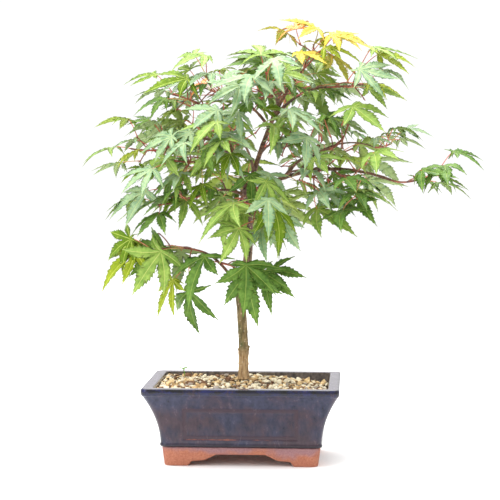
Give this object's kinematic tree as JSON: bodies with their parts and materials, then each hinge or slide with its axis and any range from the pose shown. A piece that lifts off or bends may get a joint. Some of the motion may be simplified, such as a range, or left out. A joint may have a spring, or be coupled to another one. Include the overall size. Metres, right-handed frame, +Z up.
{
  "type": "potted japanese maple bonsai",
  "caption": "Small potted Japanese maple bonsai: a slender trunk, spreading boughs and open masses of lobed leaves, in a shallow glazed pot on bracket feet with a gravel top.",
  "frame": {"origin": "under the middle of the whole plant's box, on the level surface that the pot's feet stand on", "axes": "+Z up the trunk, -Y out of the pot's broad front face, +X to the right as seen from the front"},
  "size_m": [0.409, 0.2806, 0.4557],
  "materials": {
    "glaze": "glossy dark blue glaze over brown clay",
    "terracotta": "matt unglazed clay",
    "gravel": "dry angular gravel",
    "bark": "matt young bark",
    "foliage": "satin green leaves with a few gold ones"
  },
  "bodies": {
    "root": {"pot_body": "glaze", "pot_base": "terracotta", "soil": "gravel", "trunk": "bark", "bough_leader": "bark", "bough_front": "bark", "bough_upper_left": "bark", "bough_top_left": "bark", "bough_top_right": "bark", "bough_right": "bark", "bough_right_upper": "bark", "bough_right_tip": "bark", "bough_right_front": "bark", "bough_right_lower": "bark", "bough_front_right": "bark", "bough_front_lower": "bark", "bough_left": "bark", "bough_left_outer": "bark", "bough_left_middle": "bark", "bough_left_lower": "bark", "bough_low_left": "bark", "bough_low_front": "bark", "bough_low_right": "bark", "bough_back_top": "bark", "bough_back_left": "bark", "bough_back_right": "bark", "bough_back_lower": "bark", "bough_top_back": "bark", "foliage_top": "foliage", "foliage_front": "foliage", "foliage_upper_left": "foliage", "foliage_top_left": "foliage", "foliage_top_right": "foliage", "foliage_right": "foliage", "foliage_right_upper": "foliage", "foliage_right_tip": "foliage", "foliage_right_front": "foliage", "foliage_right_lower": "foliage", "foliage_front_right": "foliage", "foliage_front_lower": "foliage", "foliage_left_upper": "foliage", "foliage_left_outer": "foliage", "foliage_left_middle": "foliage", "foliage_left_lower": "foliage", "foliage_low_left": "foliage", "foliage_low_front": "foliage", "foliage_low_right": "foliage", "foliage_back_top": "foliage", "foliage_back_left": "foliage", "foliage_back_right": "foliage", "foliage_back_lower": "foliage", "foliage_top_back": "foliage"}
  },
  "joints": []
}
